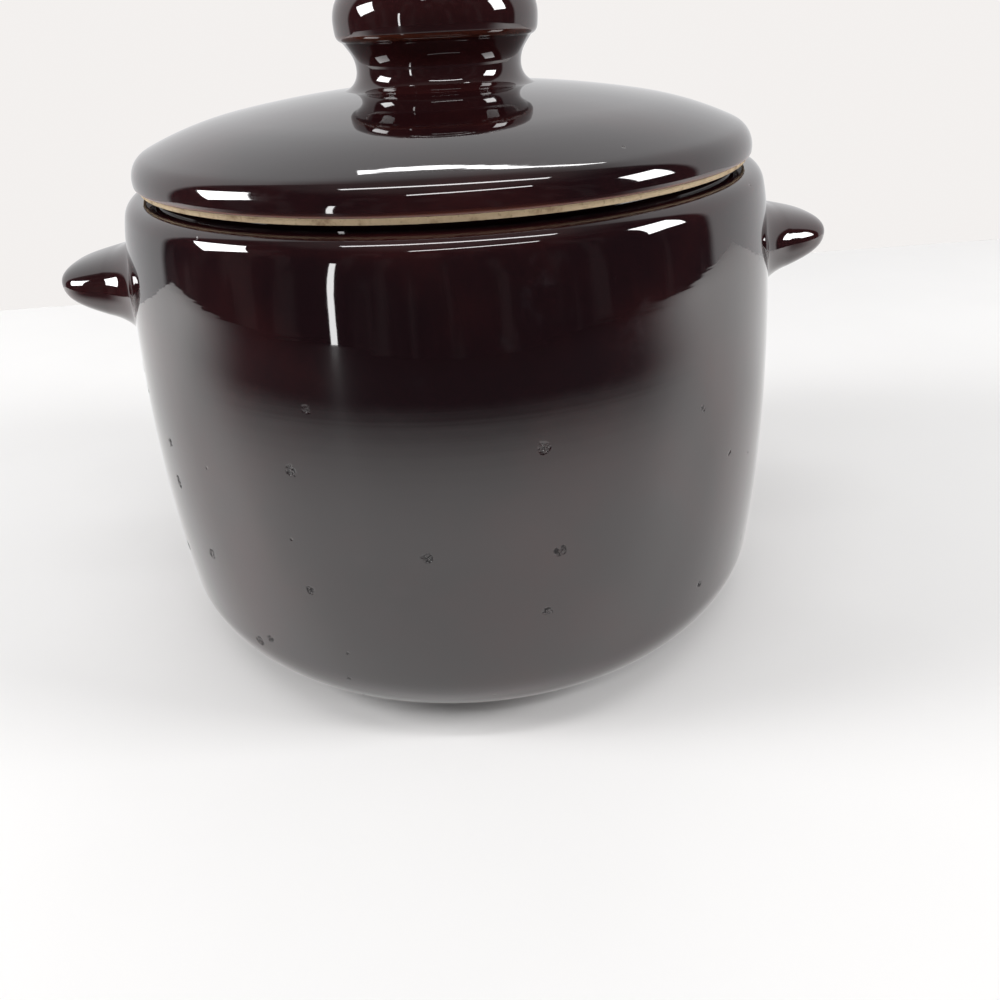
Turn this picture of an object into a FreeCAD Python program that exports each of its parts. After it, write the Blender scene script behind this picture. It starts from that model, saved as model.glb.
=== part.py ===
import FreeCAD, Part
import math
import os

import Sketcher
from FreeCAD import Vector

# Stoneware bean pot with a loose lid, in millimetres. The origin is under the middle of the pot,
# on the plane that it stands on. +Z is up and the two lugs lie along X.
SIZES = [
    # the pot's outside
    ("belly_radius", 90.2, "outside of the pot at its widest"),
    ("belly_height", 37.0, "height of the widest place"),
    ("wall_curve", 450.0, "radius of the wall's slow curve, foot to shoulder"),
    ("base_corner", 18.0, "radius between the wall and the base"),
    ("shoulder_curve", 41.0, "radius of the shoulder"),
    ("lip_curve", 5.0, "radius over the outside of the lip"),
    ("crest_height", 123.7, "height of the lip's highest line"),
    ("crest_inset", 4.5, "how far that line lies inside the wall's curve"),
    # the foot ring
    ("foot_radius", 68.5, "outside of the foot ring"),
    ("foot_width", 7.0, "width of the foot ring"),
    ("foot_height", 3.6, "from the table to the base's corner curve"),
    ("foot_recess", 2.6, "depth of the hollow inside the foot ring"),
    ("foot_round", 1.2, "rounding of the foot ring's two bottom edges"),
    # the pot's inside
    ("wall_thickness", 6.0, "thickness of the thrown wall"),
    ("base_thickness", 7.0, "from the base's underside up to the floor"),
    ("inner_corner", 12.0, "radius between the inside wall and the floor"),
    ("inner_shoulder_curve", 24.0, "radius inside the shoulder"),
    ("lip_width", 2.5, "from the lip's highest line in to the gallery"),
    ("gallery_depth", 4.5, "from the lip's highest line down to the ledge"),
    ("ledge_width", 8.8, "width of the ledge that the lid rests on"),
    ("throat_height", 5.5, "thickness of the ledge at the throat"),
    ("lip_round", 1.2, "rounding of the lip's inner edge"),
    ("throat_round", 1.8, "rounding of the ledge's two edges at the throat"),
    # the lid
    ("lid_gap", 1.5, "height of the lid's bare underside above the lip"),
    ("lid_overhang", 1.2, "how far the lid's rolled edge lies outside the lip's highest line"),
    ("lid_edge_curve", 6.0, "radius of the rolled edge"),
    ("lid_edge_rise", 2.6, "from the bare underside up to the edge's widest line"),
    ("lid_brow_curve", 90.0, "radius between the rolled edge and the dome"),
    ("lid_dome_sag", 9.63, "how far the dome's curve would fall from its top to the lid's outside"),
    ("lid_rise", 18.3, "height of the dome above the bare underside"),
    ("lid_thickness", 7.0, "thickness of the lid's dome"),
    ("band_height", 1.4, "height of the bare clay band round the lid"),
    ("band_depth", 1.0, "how far the bare band lies inside the lid's widest line"),
    ("collar_play", 1.0, "room between the lid's collar and the lip"),
    ("collar_width", 6.0, "width of the lid's locating collar"),
    ("collar_round", 1.0, "rounding of the collar's two bottom edges"),
    ("collar_fillet", 4.0, "inside curve from the collar to the lid's underside"),
    # the knob
    ("knob_root_radius", 25.5, "radius of the knob's spread root"),
    ("knob_waist_radius", 21.0, "radius of the knob's waist"),
    ("knob_waist_rise", 4.1, "from the dome's top up to the waist"),
    ("knob_crease_rise", 10.8, "from the dome's top up to the edge under the head"),
    ("knob_head_radius", 25.2, "radius of the head at its widest"),
    ("knob_head_rise", 13.6, "from the dome's top up to the head's widest line"),
    ("knob_side_curve", 9.0, "radius of the head's side"),
    ("knob_crown_curve", 48.0, "radius of the head's crown"),
    ("knob_crease_round", 0.8, "rounding of the edge under the head"),
    # the lugs
    ("lug_drop", 24.0, "from the lip's highest line down to the middle of a lug's tip"),
    ("lug_reach", 20.0, "how far a lug stands out from the wall"),
    ("lug_width", 39.0, "width of a lug's tab"),
    ("lug_top", 6.6, "from the tip's middle up to the top of the tab"),
    ("lug_bottom", 6.2, "from the tip's middle down to the underside of the tab"),
    ("lug_root_width", 50.0, "width of a lug where it runs into the wall"),
    ("lug_root_top", 13.5, "from the tip's middle up to the root's top"),
    ("lug_root_bottom", 13.0, "from the tip's middle down to the root's underside"),
]

# Sizes that follow from the ones above, worked out in the sheet.
DERIVED = [
    ("crest_radius", "belly_radius - wall_curve + sqrt(wall_curve ^ 2 - (crest_height - belly_height) ^ 2)"
                     " - crest_inset", "radius of the lip's highest line"),
    ("gallery_radius", "crest_radius - lip_width", "inside of the lip"),
    ("throat_radius", "gallery_radius - ledge_width", "clear radius of the pot's mouth"),
    ("ledge_height", "crest_height - gallery_depth", "height of the ledge that the lid rests on"),
    ("lid_under", "crest_height + lid_gap", "height of the lid's bare underside"),
    ("lid_radius", "crest_radius + lid_overhang", "outside of the lid's rolled edge"),
    ("lid_dome_curve", "lid_radius ^ 2 / (2 * lid_dome_sag)", "radius of the lid's dome"),
    ("collar_radius", "gallery_radius - collar_play", "outside of the lid's collar"),
    ("dome_top", "lid_under + lid_rise", "height of the dome's top"),
    ("lug_height", "crest_height - lug_drop", "height of the middle of a lug's tip"),
    ("wall_at_lug", "belly_radius - wall_curve + sqrt(wall_curve ^ 2 - (lug_height - belly_height) ^ 2)",
     "radius of the wall behind the lugs"),
]
SIZE = {}

# A cut runs this far past the face that it opens.
CUT_MARGIN = 1.0

# Two measures this near to each other are the same.
MATCH = 0.0001

doc = FreeCAD.newDocument("BeanPot")


def make_sheet():
    """Writes the driving sizes and the ones that follow into the sheet, and reads all back."""
    sheet = doc.addObject("Spreadsheet::Sheet", "sizes")
    rows = SIZES + [(name, "=" + formula, meaning) for name, formula, meaning in DERIVED]
    for row, (name, content, meaning) in enumerate(rows, start=1):
        sheet.set("A%d" % row, name)
        sheet.set("B%d" % row, str(content))
        sheet.set("C%d" % row, meaning)
        sheet.setAlias("B%d" % row, name)
    doc.recompute()
    SIZE.update((name, float(sheet.get(name))) for name, content, meaning in rows)


def make_body(name):
    body = doc.addObject("PartDesign::Body", name)
    body.Label = name
    return body


def make_sketch(body, name, plane="XZ_Plane"):
    """A sketch on one of the body's own origin planes."""
    sketch = body.newObject("Sketcher::SketchObject", name)
    origin_plane = [f for f in body.Origin.OriginFeatures if f.Role == plane][0]
    sketch.AttachmentSupport = [(origin_plane, "")]
    sketch.MapMode = "FlatFace"
    return sketch


def line(start, end):
    return Part.LineSegment(Vector(start[0], start[1], 0), Vector(end[0], end[1], 0))


def arc(centre, radius, first, last):
    """An arc that runs anticlockwise from one angle to the other, in radians."""
    circle = Part.Circle(Vector(centre[0], centre[1], 0), Vector(0, 0, 1), radius)
    return Part.ArcOfCircle(circle, first, last)


def angle_from(centre, point):
    return math.atan2(point[1] - centre[1], point[0] - centre[0])


def on_circle(centre, radius, angle):
    return (centre[0] + radius * math.cos(angle), centre[1] + radius * math.sin(angle))


def crossing(first, first_radius, second, second_radius, pick):
    """Where two circles cross: of the two points, the one for which pick gives the larger value."""
    gap = (second[0] - first[0], second[1] - first[1])
    apart = math.hypot(gap[0], gap[1])
    along = (first_radius ** 2 - second_radius ** 2 + apart ** 2) / (2 * apart)
    aside = math.sqrt(max(first_radius ** 2 - along ** 2, 0.0))
    unit = (gap[0] / apart, gap[1] / apart)
    points = [(first[0] + along * unit[0] - side * aside * unit[1],
               first[1] + along * unit[1] + side * aside * unit[0]) for side in (1, -1)]
    return max(points, key=pick)


class Outline:
    """A closed outline of lines and arcs in one sketch. The pieces are added in order round the
    outline, each joined to the one before it, and their sizes are bound to the sheet."""

    START, END, CENTRE = range(1, 4)
    ORIGIN = (-1, 1)

    def __init__(self, sketch):
        self.sketch = sketch
        self.pieces = []

    def rule(self, kind, *where):
        return self.sketch.addConstraint(Sketcher.Constraint(kind, *where))

    def add(self, geometry, smooth=False, backwards=False):
        """Adds a piece. A smooth joint shares one tangent with the piece before; an arc that the
        outline follows clockwise goes backwards."""
        piece = self.sketch.addGeometry(geometry, False)
        ends = (self.END, self.START) if backwards else (self.START, self.END)
        if self.pieces:
            before, before_ends = self.pieces[-1]
            kind = "Tangent" if smooth else "Coincident"
            self.rule(kind, before, before_ends[1], piece, ends[0])
        self.pieces.append((piece, ends))
        return piece

    def close(self, smooth=False):
        last, last_ends = self.pieces[-1]
        first, first_ends = self.pieces[0]
        self.rule("Tangent" if smooth else "Coincident", last, last_ends[1], first, first_ends[0])

    def level(self, *pieces):
        for piece in pieces:
            self.rule("Horizontal", piece)

    def upright(self, *pieces):
        for piece in pieces:
            self.rule("Vertical", piece)

    def on_axis(self, piece, end):
        self.rule("PointOnObject", piece, end, -2)

    def bind(self, kind, where, value, formula):
        index = self.rule(kind, *where, value)
        self.sketch.setExpression("Constraints[%d]" % index, formula)

    def radius(self, piece, name):
        self.bind("Radius", (piece,), SIZE[name], "sizes.%s" % name)

    def across(self, piece, end, value, formula):
        """Distance of a point from the upright axis."""
        self.bind("DistanceX", (*self.ORIGIN, piece, end), value, formula)

    def height(self, piece, end, value, formula):
        """Height of a point above the plane that the pot stands on."""
        self.bind("DistanceY", (*self.ORIGIN, piece, end), value, formula)


def revolve(body, sketch, name, cut=False):
    """A full turn about the upright axis, added to the body or cut from it."""
    kind = "PartDesign::Groove" if cut else "PartDesign::Revolution"
    feature = body.newObject(kind, name)
    feature.Profile = sketch
    feature.ReferenceAxis = (sketch, ["V_Axis"])
    feature.Angle = 360
    doc.recompute()
    return feature


def ring_edges(feature, *rings):
    """Names of the circular edges round the axis, each ring given by its radius and height."""
    def same(first, second):
        return math.isclose(first, second, rel_tol=MATCH, abs_tol=MATCH)

    names = []
    for index, edge in enumerate(feature.Shape.Edges, start=1):
        if edge.Degenerated or not isinstance(edge.Curve, Part.Circle):
            continue
        centre = edge.Curve.Center
        for radius, height in rings:
            if same(edge.Curve.Radius, radius) and same(centre.z, height):
                names.append("Edge%d" % index)
    return names


def round_rings(body, feature, name, size, *rings):
    fillet = body.newObject("PartDesign::Fillet", name)
    fillet.Base = (feature, ring_edges(feature, *rings))
    fillet.setExpression("Radius", "sizes.%s" % size)
    doc.recompute()
    return fillet


def wall_centre():
    """Centre of the wall's slow curve, as distance from the axis and height."""
    return (SIZE["belly_radius"] - SIZE["wall_curve"], SIZE["belly_height"])


def place_wall_centre(out, piece):
    out.bind("DistanceX", (piece, out.CENTRE, *out.ORIGIN), -wall_centre()[0],
             "sizes.wall_curve - sizes.belly_radius")
    out.height(piece, out.CENTRE, SIZE["belly_height"], "sizes.belly_height")


def draw_outside(sketch):
    """The pot's outline from the foot up to the crest of the lip. The wall is one slow curve, and
    the corner, shoulder and lip are arcs that run into it and into each other."""
    s = SIZE
    wall = wall_centre()
    corner_height = s["foot_height"] + s["base_corner"]
    corner_reach = s["wall_curve"] - s["base_corner"]
    corner = (wall[0] + math.sqrt(corner_reach ** 2 - (corner_height - wall[1]) ** 2), corner_height)
    lip = (s["crest_radius"], s["crest_height"] - s["lip_curve"])
    shoulder = crossing(wall, s["wall_curve"] - s["shoulder_curve"],
                        lip, s["shoulder_curve"] - s["lip_curve"], pick=lambda point: -point[1])
    corner_top = angle_from(wall, corner)
    shoulder_foot = angle_from(wall, shoulder)
    lip_foot = angle_from(shoulder, lip)

    out = Outline(sketch)
    axis = out.add(line((0, s["crest_height"]), (0, 0)))
    under = out.add(line((0, 0), (s["foot_radius"], 0)))
    side = out.add(line((s["foot_radius"], 0), (s["foot_radius"], s["foot_height"])))
    flat = out.add(line((s["foot_radius"], s["foot_height"]), (corner[0], s["foot_height"])))
    corner_arc = out.add(arc(corner, s["base_corner"], -math.pi / 2, corner_top), smooth=True)
    wall_arc = out.add(arc(wall, s["wall_curve"], corner_top, shoulder_foot), smooth=True)
    shoulder_arc = out.add(arc(shoulder, s["shoulder_curve"], shoulder_foot, lip_foot), smooth=True)
    lip_arc = out.add(arc(lip, s["lip_curve"], lip_foot, math.pi / 2), smooth=True)
    cover = out.add(line((s["crest_radius"], s["crest_height"]), (0, s["crest_height"])), smooth=True)
    out.close()

    out.on_axis(axis, out.END)
    out.level(under, flat, cover)
    out.upright(axis, side)
    out.height(under, out.START, 0.0, "0")
    out.across(under, out.END, s["foot_radius"], "sizes.foot_radius")
    out.height(side, out.END, s["foot_height"], "sizes.foot_height")
    out.radius(corner_arc, "base_corner")
    out.radius(wall_arc, "wall_curve")
    out.radius(shoulder_arc, "shoulder_curve")
    out.radius(lip_arc, "lip_curve")
    place_wall_centre(out, wall_arc)
    out.across(lip_arc, out.END, s["crest_radius"], "sizes.crest_radius")
    out.height(lip_arc, out.END, s["crest_height"], "sizes.crest_height")


def draw_chamber(sketch):
    """The pot's inside: a flat floor, a corner, the wall at its even thickness, and a shoulder that
    runs in under the ledge to the throat."""
    s = SIZE
    wall = wall_centre()
    wall_radius = s["wall_curve"] - s["wall_thickness"]
    floor = s["foot_height"] + s["base_thickness"]
    corner_height = floor + s["inner_corner"]
    corner_reach = wall_radius - s["inner_corner"]
    corner = (wall[0] + math.sqrt(corner_reach ** 2 - (corner_height - wall[1]) ** 2), corner_height)
    throat_foot = (s["throat_radius"], s["ledge_height"] - s["throat_height"])
    shoulder = crossing(wall, wall_radius - s["inner_shoulder_curve"],
                        throat_foot, s["inner_shoulder_curve"], pick=lambda point: -point[1])
    corner_top = angle_from(wall, corner)
    shoulder_foot = angle_from(wall, shoulder)
    shoulder_top = angle_from(shoulder, throat_foot)
    top = s["crest_height"] + CUT_MARGIN

    out = Outline(sketch)
    axis = out.add(line((0, top), (0, floor)))
    bottom = out.add(line((0, floor), (corner[0], floor)))
    corner_arc = out.add(arc(corner, s["inner_corner"], -math.pi / 2, corner_top), smooth=True)
    wall_arc = out.add(arc(wall, wall_radius, corner_top, shoulder_foot), smooth=True)
    shoulder_arc = out.add(arc(shoulder, s["inner_shoulder_curve"], shoulder_foot, shoulder_top),
                           smooth=True)
    throat = out.add(line(throat_foot, (throat_foot[0], top)))
    cover = out.add(line((throat_foot[0], top), (0, top)))
    out.close()

    out.on_axis(axis, out.END)
    out.upright(axis, throat)
    out.level(bottom, cover)
    out.height(bottom, out.START, floor, "sizes.foot_height + sizes.base_thickness")
    out.radius(corner_arc, "inner_corner")
    out.bind("Radius", (wall_arc,), wall_radius, "sizes.wall_curve - sizes.wall_thickness")
    place_wall_centre(out, wall_arc)
    out.radius(shoulder_arc, "inner_shoulder_curve")
    out.across(throat, out.START, throat_foot[0], "sizes.throat_radius")
    out.height(throat, out.START, throat_foot[1], "sizes.ledge_height - sizes.throat_height")
    out.height(cover, out.START, top, "sizes.crest_height + %g" % CUT_MARGIN)


def draw_disc(sketch, radius, radius_formula, low, low_formula, high, high_formula):
    """A box from the axis outwards, which turns into a round recess."""
    out = Outline(sketch)
    axis = out.add(line((0, high), (0, low)))
    bottom = out.add(line((0, low), (radius, low)))
    side = out.add(line((radius, low), (radius, high)))
    top = out.add(line((radius, high), (0, high)))
    out.close()
    out.on_axis(axis, out.END)
    out.upright(axis, side)
    out.level(bottom, top)
    out.across(bottom, out.END, radius, radius_formula)
    out.bind("DistanceY", (*out.ORIGIN, side, out.END), high, high_formula)
    out.bind("DistanceY", (side, out.START, side, out.END), high - low,
             "(%s) - (%s)" % (high_formula, low_formula))


def draw_gallery(sketch):
    """The recess inside the lip that takes the lid's collar."""
    draw_disc(sketch, SIZE["gallery_radius"], "sizes.gallery_radius",
              SIZE["ledge_height"], "sizes.ledge_height",
              SIZE["crest_height"] + CUT_MARGIN, "sizes.crest_height + %g" % CUT_MARGIN)


def draw_foot_hollow(sketch):
    """The hollow under the base, which leaves the foot ring standing."""
    draw_disc(sketch, SIZE["foot_radius"] - SIZE["foot_width"], "sizes.foot_radius - sizes.foot_width",
              -CUT_MARGIN, "-%g" % CUT_MARGIN, SIZE["foot_recess"], "sizes.foot_recess")


def make_pot_body():
    s = SIZE
    body = make_body("pot_body")
    outside = make_sketch(body, "pot_outside")
    draw_outside(outside)
    revolve(body, outside, "pot_form")
    chamber = make_sketch(body, "pot_chamber")
    draw_chamber(chamber)
    revolve(body, chamber, "pot_inside", cut=True)
    gallery = make_sketch(body, "pot_gallery")
    draw_gallery(gallery)
    revolve(body, gallery, "lid_gallery", cut=True)
    hollow = make_sketch(body, "pot_foot_hollow")
    draw_foot_hollow(hollow)
    feature = revolve(body, hollow, "foot_hollow", cut=True)

    feature = round_rings(body, feature, "lip_rounding", "lip_round",
                          (s["gallery_radius"], s["crest_height"]))
    feature = round_rings(body, feature, "throat_rounding", "throat_round",
                          (s["throat_radius"], s["ledge_height"]),
                          (s["throat_radius"], s["ledge_height"] - s["throat_height"]))
    round_rings(body, feature, "foot_rounding", "foot_round",
                (s["foot_radius"], 0), (s["foot_radius"] - s["foot_width"], 0))
    return body


# The lid, drawn where it rests: its collar stands on the pot's ledge.

def dome_centre():
    return (0, SIZE["dome_top"] - SIZE["lid_dome_curve"])


def place_dome_centre(out, piece):
    out.on_axis(piece, out.CENTRE)
    out.bind("DistanceY", (piece, out.CENTRE, *out.ORIGIN), -dome_centre()[1],
             "sizes.lid_dome_curve - sizes.dome_top")


def height_on_dome(radius, dome_radius):
    return dome_centre()[1] + math.sqrt(dome_radius ** 2 - radius ** 2)


def draw_lid(sketch):
    """The lid's outline: the dome's underside, the collar that drops into the pot's lip, the bare
    underside and band, the rolled edge, the brow and the dome."""
    s = SIZE
    under = s["lid_under"]
    ledge = s["ledge_height"]
    dome = dome_centre()
    inner_radius = s["lid_dome_curve"] - s["lid_thickness"]
    collar_out = s["collar_radius"]
    collar_in = collar_out - s["collar_width"]
    collar_top = (collar_in, height_on_dome(collar_in, inner_radius))
    edge = (s["lid_radius"] - s["lid_edge_curve"], under + s["lid_edge_rise"])
    band_top = under + s["band_height"]
    band_radius = s["lid_radius"] - s["band_depth"]
    edge_start = -math.asin((s["lid_edge_rise"] - s["band_height"]) / s["lid_edge_curve"])
    edge_foot = on_circle(edge, s["lid_edge_curve"], edge_start)
    brow = crossing(dome, s["lid_dome_curve"] - s["lid_brow_curve"],
                    edge, s["lid_brow_curve"] - s["lid_edge_curve"], pick=lambda point: -point[0])
    brow_start = angle_from(brow, edge)
    dome_start = angle_from(dome, brow)
    collar_angle = angle_from(dome, collar_top)

    out = Outline(sketch)
    axis = out.add(line((0, s["dome_top"]), (0, s["dome_top"] - s["lid_thickness"])))
    inner = out.add(arc(dome, inner_radius, collar_angle, math.pi / 2), backwards=True)
    collar_inside = out.add(line(collar_top, (collar_in, ledge)))
    collar_foot = out.add(line((collar_in, ledge), (collar_out, ledge)))
    collar_outside = out.add(line((collar_out, ledge), (collar_out, under)))
    bare = out.add(line((collar_out, under), (band_radius, under)))
    band = out.add(line((band_radius, under), (band_radius, band_top)))
    step = out.add(line((band_radius, band_top), edge_foot))
    edge_arc = out.add(arc(edge, s["lid_edge_curve"], edge_start, brow_start))
    brow_arc = out.add(arc(brow, s["lid_brow_curve"], brow_start, dome_start), smooth=True)
    dome_arc = out.add(arc(dome, s["lid_dome_curve"], dome_start, math.pi / 2), smooth=True)
    out.close()

    out.on_axis(axis, out.START)
    out.upright(axis, collar_inside, collar_outside, band)
    out.level(collar_foot, bare, step)
    place_dome_centre(out, dome_arc)
    place_dome_centre(out, inner)
    out.radius(dome_arc, "lid_dome_curve")
    out.bind("Radius", (inner,), inner_radius, "sizes.lid_dome_curve - sizes.lid_thickness")
    out.radius(edge_arc, "lid_edge_curve")
    out.radius(brow_arc, "lid_brow_curve")
    out.across(collar_foot, out.END, collar_out, "sizes.collar_radius")
    out.across(collar_foot, out.START, collar_in, "sizes.collar_radius - sizes.collar_width")
    out.height(collar_foot, out.END, ledge, "sizes.ledge_height")
    out.height(bare, out.START, under, "sizes.lid_under")
    out.across(bare, out.END, band_radius, "sizes.lid_radius - sizes.band_depth")
    out.height(band, out.END, band_top, "sizes.lid_under + sizes.band_height")
    out.across(edge_arc, out.CENTRE, edge[0], "sizes.lid_radius - sizes.lid_edge_curve")
    out.height(edge_arc, out.CENTRE, edge[1], "sizes.lid_under + sizes.lid_edge_rise")


def make_lid():
    s = SIZE
    body = make_body("lid")
    outline = make_sketch(body, "lid_outline")
    draw_lid(outline)
    feature = revolve(body, outline, "lid_form")
    collar_in = s["collar_radius"] - s["collar_width"]
    collar_top = height_on_dome(collar_in, s["lid_dome_curve"] - s["lid_thickness"])
    feature = round_rings(body, feature, "collar_curve", "collar_fillet", (collar_in, collar_top))
    round_rings(body, feature, "collar_rounding", "collar_round",
                (s["collar_radius"], s["ledge_height"]), (collar_in, s["ledge_height"]))
    return body


def draw_knob(sketch):
    """The knob's outline: a spread root that sits on the dome, a waist between two hollow curves,
    the edge under the head, the head's round side and its low crown."""
    s = SIZE
    dome = dome_centre()
    dome_top = s["dome_top"]
    root = (s["knob_root_radius"], height_on_dome(s["knob_root_radius"], s["lid_dome_curve"]))
    waist = (s["knob_waist_radius"], dome_top + s["knob_waist_rise"])
    side = (s["knob_head_radius"] - s["knob_side_curve"], dome_top + s["knob_head_rise"])
    side_start = -math.asin((s["knob_head_rise"] - s["knob_crease_rise"]) / s["knob_side_curve"])
    crease = on_circle(side, s["knob_side_curve"], side_start)
    crown_reach = s["knob_crown_curve"] - s["knob_side_curve"]
    crown = (0, side[1] - math.sqrt(crown_reach ** 2 - side[0] ** 2))
    crown_start = angle_from(crown, side)

    def hollow(far):
        """Centre and radius of the hollow curve that is upright at the waist and ends at far."""
        out_by, up_by = far[0] - waist[0], far[1] - waist[1]
        radius = (out_by ** 2 + up_by ** 2) / (2 * out_by)
        return (waist[0] + radius, waist[1]), radius

    lower, lower_radius = hollow(root)
    upper, upper_radius = hollow(crease)
    full_turn = 2 * math.pi

    out = Outline(sketch)
    axis = out.add(line((0, crown[1] + s["knob_crown_curve"]), (0, dome_top)))
    seat = out.add(arc(dome, s["lid_dome_curve"], angle_from(dome, root), math.pi / 2), backwards=True)
    root_arc = out.add(arc(lower, lower_radius, math.pi, angle_from(lower, root) + full_turn),
                       backwards=True)
    neck_arc = out.add(arc(upper, upper_radius, angle_from(upper, crease), math.pi),
                       smooth=True, backwards=True)
    side_arc = out.add(arc(side, s["knob_side_curve"], side_start, crown_start))
    crown_arc = out.add(arc(crown, s["knob_crown_curve"], crown_start, math.pi / 2), smooth=True)
    out.close()

    out.on_axis(axis, out.START)
    out.upright(axis)
    place_dome_centre(out, seat)
    out.radius(seat, "lid_dome_curve")
    out.across(seat, out.START, root[0], "sizes.knob_root_radius")
    out.across(neck_arc, out.END, waist[0], "sizes.knob_waist_radius")
    out.height(neck_arc, out.END, waist[1], "sizes.dome_top + sizes.knob_waist_rise")
    out.height(neck_arc, out.CENTRE, waist[1], "sizes.dome_top + sizes.knob_waist_rise")
    out.radius(side_arc, "knob_side_curve")
    out.across(side_arc, out.CENTRE, side[0], "sizes.knob_head_radius - sizes.knob_side_curve")
    out.height(side_arc, out.CENTRE, side[1], "sizes.dome_top + sizes.knob_head_rise")
    out.height(side_arc, out.START, crease[1], "sizes.dome_top + sizes.knob_crease_rise")
    out.on_axis(crown_arc, out.CENTRE)
    out.radius(crown_arc, "knob_crown_curve")
    return crease


def make_knob():
    body = make_body("lid_knob")
    outline = make_sketch(body, "knob_outline")
    crease = draw_knob(outline)
    feature = revolve(body, outline, "knob_form")
    round_rings(body, feature, "crease_rounding", "knob_crease_round", crease)
    return body


# The lugs. Each section of a lug is an upright slot, given by how far it lies along the lug's reach
# from the wall, how far it has gone over from the root's size to the tab's, and what share of the
# tab's width and thickness is left towards the round tip.
LUG_SECTIONS = [
    (-0.35, 0.0, 1.0, 1.0),
    (-0.02, 0.0, 1.0, 1.0),
    (0.10, 0.55, 1.0, 1.0),
    (0.28, 0.95, 0.96, 0.96),
    (0.55, 1.0, 0.84, 0.84),
    (0.78, 1.0, 0.63, 0.63),
    (0.92, 1.0, 0.42, 0.40),
    (1.00, 1.0, 0.26, 0.20),
]


def draw_lug_section(sketch, side, along, over, width_share, thickness_share):
    s = SIZE

    def measure(root, tab, share):
        value = (s[root] + over * (s[tab] - s[root])) * share
        return value, "(sizes.%s + %g * (sizes.%s - sizes.%s)) * %g" % (root, over, tab, root, share)

    width, width_formula = measure("lug_root_width", "lug_width", width_share)
    top, top_formula = measure("lug_root_top", "lug_top", thickness_share)
    bottom, bottom_formula = measure("lug_root_bottom", "lug_bottom", thickness_share)
    end_radius = (top + bottom) / 2
    end_radius_formula = "(%s + %s) / 2" % (top_formula, bottom_formula)
    half_length = width / 2 - end_radius
    half_length_formula = "%s / 2 - %s" % (width_formula, end_radius_formula)
    middle = s["lug_height"] + (top - bottom) / 2
    middle_formula = "sizes.lug_height + (%s - %s) / 2" % (top_formula, bottom_formula)
    sketch.setExpression("AttachmentOffset.Base.z",
                         "%g * (sizes.wall_at_lug + %g * sizes.lug_reach)" % (side, along))

    out = Outline(sketch)
    low, high = middle - end_radius, middle + end_radius
    under = out.add(line((-half_length, low), (half_length, low)))
    right_arc = out.add(arc((half_length, middle), end_radius, -math.pi / 2, math.pi / 2), smooth=True)
    over_line = out.add(line((half_length, high), (-half_length, high)), smooth=True)
    left_arc = out.add(arc((-half_length, middle), end_radius, math.pi / 2, 3 * math.pi / 2), smooth=True)
    out.close(smooth=True)
    out.level(under, over_line)
    out.bind("Radius", (right_arc,), end_radius, end_radius_formula)
    out.across(right_arc, out.CENTRE, half_length, half_length_formula)
    out.height(right_arc, out.CENTRE, middle, middle_formula)
    out.bind("DistanceX", (left_arc, out.CENTRE, *out.ORIGIN), half_length, half_length_formula)


def make_lug(name, side):
    """A pressed lug, luted on: a loft through its sections, cut to the wall that it sits on."""
    body = make_body(name)
    sections = []
    for number, section in enumerate(LUG_SECTIONS, start=1):
        sketch = make_sketch(body, "%s_section_%d" % (name, number), plane="YZ_Plane")
        draw_lug_section(sketch, side, *section)
        sections.append(sketch)
    doc.recompute()
    loft = body.newObject("PartDesign::AdditiveLoft", name + "_form")
    loft.Profile = sections[0]
    loft.Sections = sections[1:]
    doc.recompute()
    wall = make_sketch(body, name + "_wall")
    draw_outside(wall)
    revolve(body, wall, name + "_seat", cut=True)
    return body


def check_document():
    for thing in doc.Objects:
        if "Invalid" in thing.State or "Error" in thing.State:
            raise RuntimeError("%s did not build: %s" % (thing.Name, thing.State))
        if thing.TypeId == "Sketcher::SketchObject" and not thing.FullyConstrained:
            raise RuntimeError("%s is not fully constrained" % thing.Name)


def check_shape(node):
    shape = node.Shape
    if shape.isNull() or not shape.isValid() or len(shape.Solids) != 1:
        raise RuntimeError("%s is not one valid solid" % node.Label)


def main():
    make_sheet()
    nodes = [
        make_pot_body(),
        make_lug("lug_right", side=1),
        make_lug("lug_left", side=-1),
        make_lid(),
        make_knob(),
    ]
    doc.recompute()
    check_document()
    os.makedirs("parts", exist_ok=True)
    for node in nodes:
        check_shape(node)
        node.Shape.exportStep("parts/%s.step" % node.Label)
        print("%-10s volume %.0f mm3" % (node.Label, node.Shape.Volume))


main()
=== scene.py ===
"""Stoneware bean pot with a loose knobbed lid: glazed pot, two pressed lugs, domed lid and knob.

Lengths are in metres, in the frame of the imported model: +Z up, the lugs along X, the table at z = 0.
"""
import math

import bpy
import numpy as np
from bpy.props import FloatProperty, FloatVectorProperty, IntProperty, PointerProperty
from mathutils import Matrix, Vector


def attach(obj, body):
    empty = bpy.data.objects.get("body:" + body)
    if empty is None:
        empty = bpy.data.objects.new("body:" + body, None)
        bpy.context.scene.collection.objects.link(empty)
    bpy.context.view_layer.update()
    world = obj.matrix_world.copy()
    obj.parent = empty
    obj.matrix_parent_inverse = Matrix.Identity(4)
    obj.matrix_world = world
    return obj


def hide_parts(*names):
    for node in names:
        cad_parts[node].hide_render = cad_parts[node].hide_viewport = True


bl_info = {
    "name": "Stoneware Bean Pot",
    "version": (1, 0, 0),
    "blender": (4, 5, 0),
    "location": "3D View > Sidebar > Bean Pot",
    "description": "Builds a brown-glazed stoneware bean pot with its lid and a plain studio",
    "category": "Add Mesh",
}

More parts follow.
